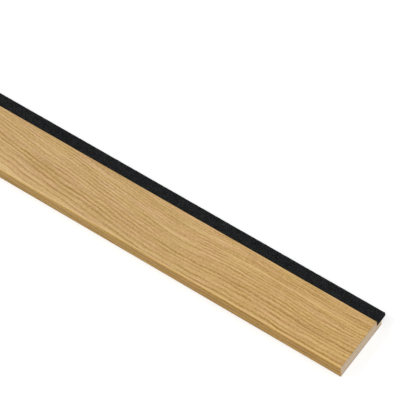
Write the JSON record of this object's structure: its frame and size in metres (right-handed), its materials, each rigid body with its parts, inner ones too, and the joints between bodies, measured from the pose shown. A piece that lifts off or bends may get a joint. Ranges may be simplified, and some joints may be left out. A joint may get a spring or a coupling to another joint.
{
  "type": "acoustic panel end trim",
  "caption": "Straight veneered fibreboard trim with a rebated back edge and a black felt strip that laps onto the acoustic panel beside it.",
  "frame": {"origin": "middle of the length and of the whole width, on the flat wall face that the trim lies on", "axes": "+X along the length, +Y from the show edge towards the panel beside it, +Z away from the wall, out of the veneered face"},
  "size_m": [2.4, 0.058, 0.012],
  "materials": {
    "mdf": "bare fibreboard, sawn at the ends, matt",
    "oak_veneer": "oak veneer under a clear satin lacquer",
    "black_felt": "needled black polyester felt, matt"
  },
  "bodies": {
    "root": {"mdf_core": "mdf", "oak_veneer": "oak_veneer", "felt_strip": "black_felt"}
  },
  "joints": []
}
